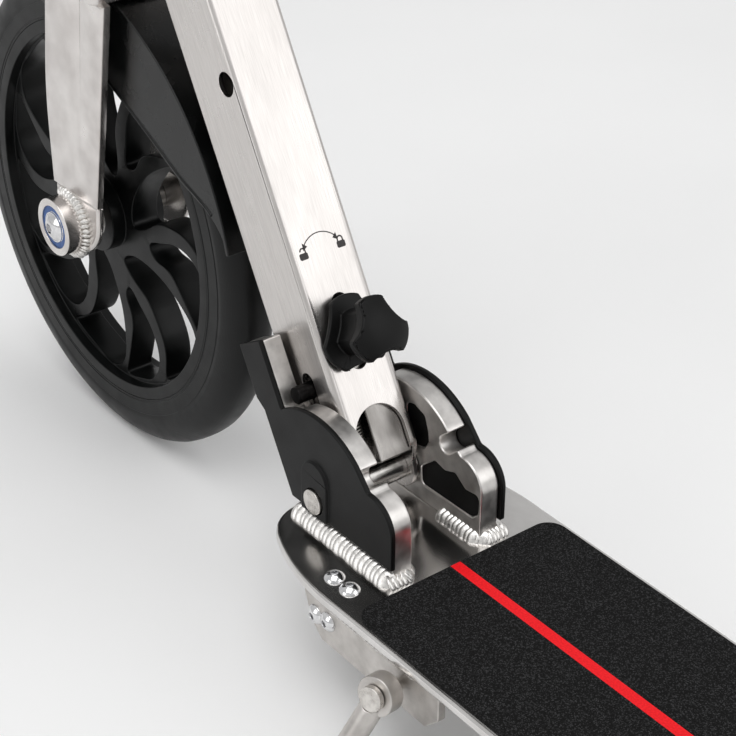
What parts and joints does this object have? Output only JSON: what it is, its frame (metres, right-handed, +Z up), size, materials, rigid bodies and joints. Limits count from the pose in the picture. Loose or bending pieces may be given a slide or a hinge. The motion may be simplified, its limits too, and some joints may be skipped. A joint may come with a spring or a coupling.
{
  "type": "kick scooter",
  "caption": "Folding aluminium kick scooter with large wheels, turn-knob folding lock, telescopic T-bar, rear fender brake and kickstand.",
  "frame": {"origin": "on the ground, under the middle of the wheelbase", "axes": "+X forward, +Y to the rider's left, +Z up"},
  "size_m": [0.996, 0.512, 1.0751],
  "materials": {
    "brushed_aluminium": "brushed",
    "polished_aluminium": "polished",
    "weld_metal": "as welded",
    "cast_aluminium": "cast and tumbled",
    "black_plastic": "matt moulded",
    "gloss_black_plastic": "gloss moulded",
    "grip_tape": "gritty",
    "red_vinyl": "satin",
    "chromed_steel": "polished",
    "steel": "turned",
    "spring_steel": "drawn wire",
    "blue_seal": "satin",
    "tyre_rubber": "matt",
    "rubber": "matt",
    "nylon": "matt"
  },
  "bodies": {
    "root": {"deck_plate": "polished_aluminium", "grip_tape": "grip_tape", "tape_stripe": "red_vinyl", "dome_screws": "chromed_steel", "cheeks": "polished_aluminium", "cheek_covers": "black_plastic", "front_stop": "polished_aluminium", "pivot_bolt": "chromed_steel", "deck_welds": "weld_metal", "kickstand_bracket": "polished_aluminium", "kickstand_bolt": "chromed_steel", "rear_plates": "polished_aluminium", "rear_axle": "steel", "rear_axle_screws": "chromed_steel", "rear_axle_spacers": "steel", "brake_hinge_pin": "steel", "brake_springs": "spring_steel"},
    "rear_wheel": {"rear_rim": "gloss_black_plastic", "rear_tyre": "tyre_rubber", "rear_wheel_bearings": "steel", "rear_bearing_spacer": "steel"},
    "rear_brake": {"rear_fender": "gloss_black_plastic", "brake_pad": "black_plastic"},
    "kickstand": {"kickstand_leg": "cast_aluminium", "kickstand_foot": "rubber"},
    "neck": {"down_tube": "brushed_aluminium", "head_tube": "brushed_aluminium", "headset_cups": "black_plastic", "headset_bearings": "steel", "pivot_bushes": "nylon"},
    "lock": {"lock_block": "cast_aluminium", "lock_pin": "steel", "lock_stem": "steel", "lock_spring": "spring_steel"},
    "knob": {"lock_knob": "black_plastic"},
    "steering": {"fork_legs": "brushed_aluminium", "fork_crown": "polished_aluminium", "fork_dropouts": "polished_aluminium", "fork_welds": "weld_metal", "axle_bosses": "polished_aluminium", "boss_bearings": "blue_seal", "front_axle": "steel", "front_axle_screws": "chromed_steel", "front_axle_spacers": "steel", "front_fender": "gloss_black_plastic", "column_tube": "brushed_aluminium", "headset_races": "steel", "clamp_collar": "black_plastic", "clamp_skewer": "steel"},
    "front_wheel": {"front_rim": "gloss_black_plastic", "front_tyre": "tyre_rubber", "front_wheel_bearings": "steel", "front_bearing_spacer": "steel"},
    "clamp_lever": {"clamp_lever": "cast_aluminium"},
    "stem": {"stem_tube": "brushed_aluminium", "bar_tee": "polished_aluminium", "bars": "brushed_aluminium", "grips": "rubber"},
    "button_left": {"bar_button_left": "black_plastic"},
    "button_right": {"bar_button_right": "black_plastic"}
  },
  "joints": [
    {"name": "fold", "type": "hinge", "parent": "root", "child": "neck", "pos_m": [0.16389, 0, 0.07478], "axis": [0, -1, 0], "range_deg": [0, 79.3]},
    {"name": "steer", "type": "hinge", "parent": "neck", "child": "steering", "pos_m": [0.373, 0, 0.125], "axis": [-0.1736, 0, 0.9848], "range_deg": [-60, 60]},
    {"name": "front_wheel_spin", "type": "hinge", "parent": "steering", "child": "front_wheel", "pos_m": [0.373, 0, 0.125], "axis": [0, 1, 0], "continuous": true},
    {"name": "rear_wheel_spin", "type": "hinge", "parent": "root", "child": "rear_wheel", "pos_m": [-0.373, 0, 0.125], "axis": [0, 1, 0], "continuous": true},
    {"name": "brake_press", "type": "hinge", "parent": "root", "child": "rear_brake", "pos_m": [-0.24175, 0, 0.08236], "axis": [0, -1, 0], "range_deg": [0, 2.4], "stiffness_Nm_per_rad": 6, "springref_deg": -8.59},
    {"name": "kickstand_swing", "type": "hinge", "parent": "root", "child": "kickstand", "pos_m": [0.078, 0.063, 0.04], "axis": [-0.217, 0.9581, 0.187], "range_deg": [0, 110.2]},
    {"name": "lock_slide", "type": "slide", "parent": "neck", "child": "lock", "axis": [0.497, 0, 0.8678], "range_m": [-0.0114, 0], "deforming": ["lock_spring"]},
    {"name": "knob_turn", "type": "hinge", "parent": "lock", "child": "knob", "pos_m": [0.17031, 0, 0.14636], "axis": [-0.8678, 0, 0.497], "range_deg": [0, 90]},
    {"name": "stem_height", "type": "slide", "parent": "steering", "child": "stem", "axis": [-0.1736, 0, 0.9848], "range_m": [-0.3, 0]},
    {"name": "clamp_lever_swing", "type": "hinge", "parent": "steering", "child": "clamp_lever", "pos_m": [0.29714, 0.0196, 0.71073], "axis": [0.1736, 0, -0.9848], "range_deg": [0, 110]},
    {"name": "button_left_press", "type": "slide", "parent": "stem", "child": "button_left", "axis": [-0.1736, 0, 0.9848], "range_m": [-0.0025, 0], "stiffness_N_per_m": 900},
    {"name": "button_right_press", "type": "slide", "parent": "stem", "child": "button_right", "axis": [-0.1736, 0, 0.9848], "range_m": [-0.0025, 0], "stiffness_N_per_m": 900}
  ]
}
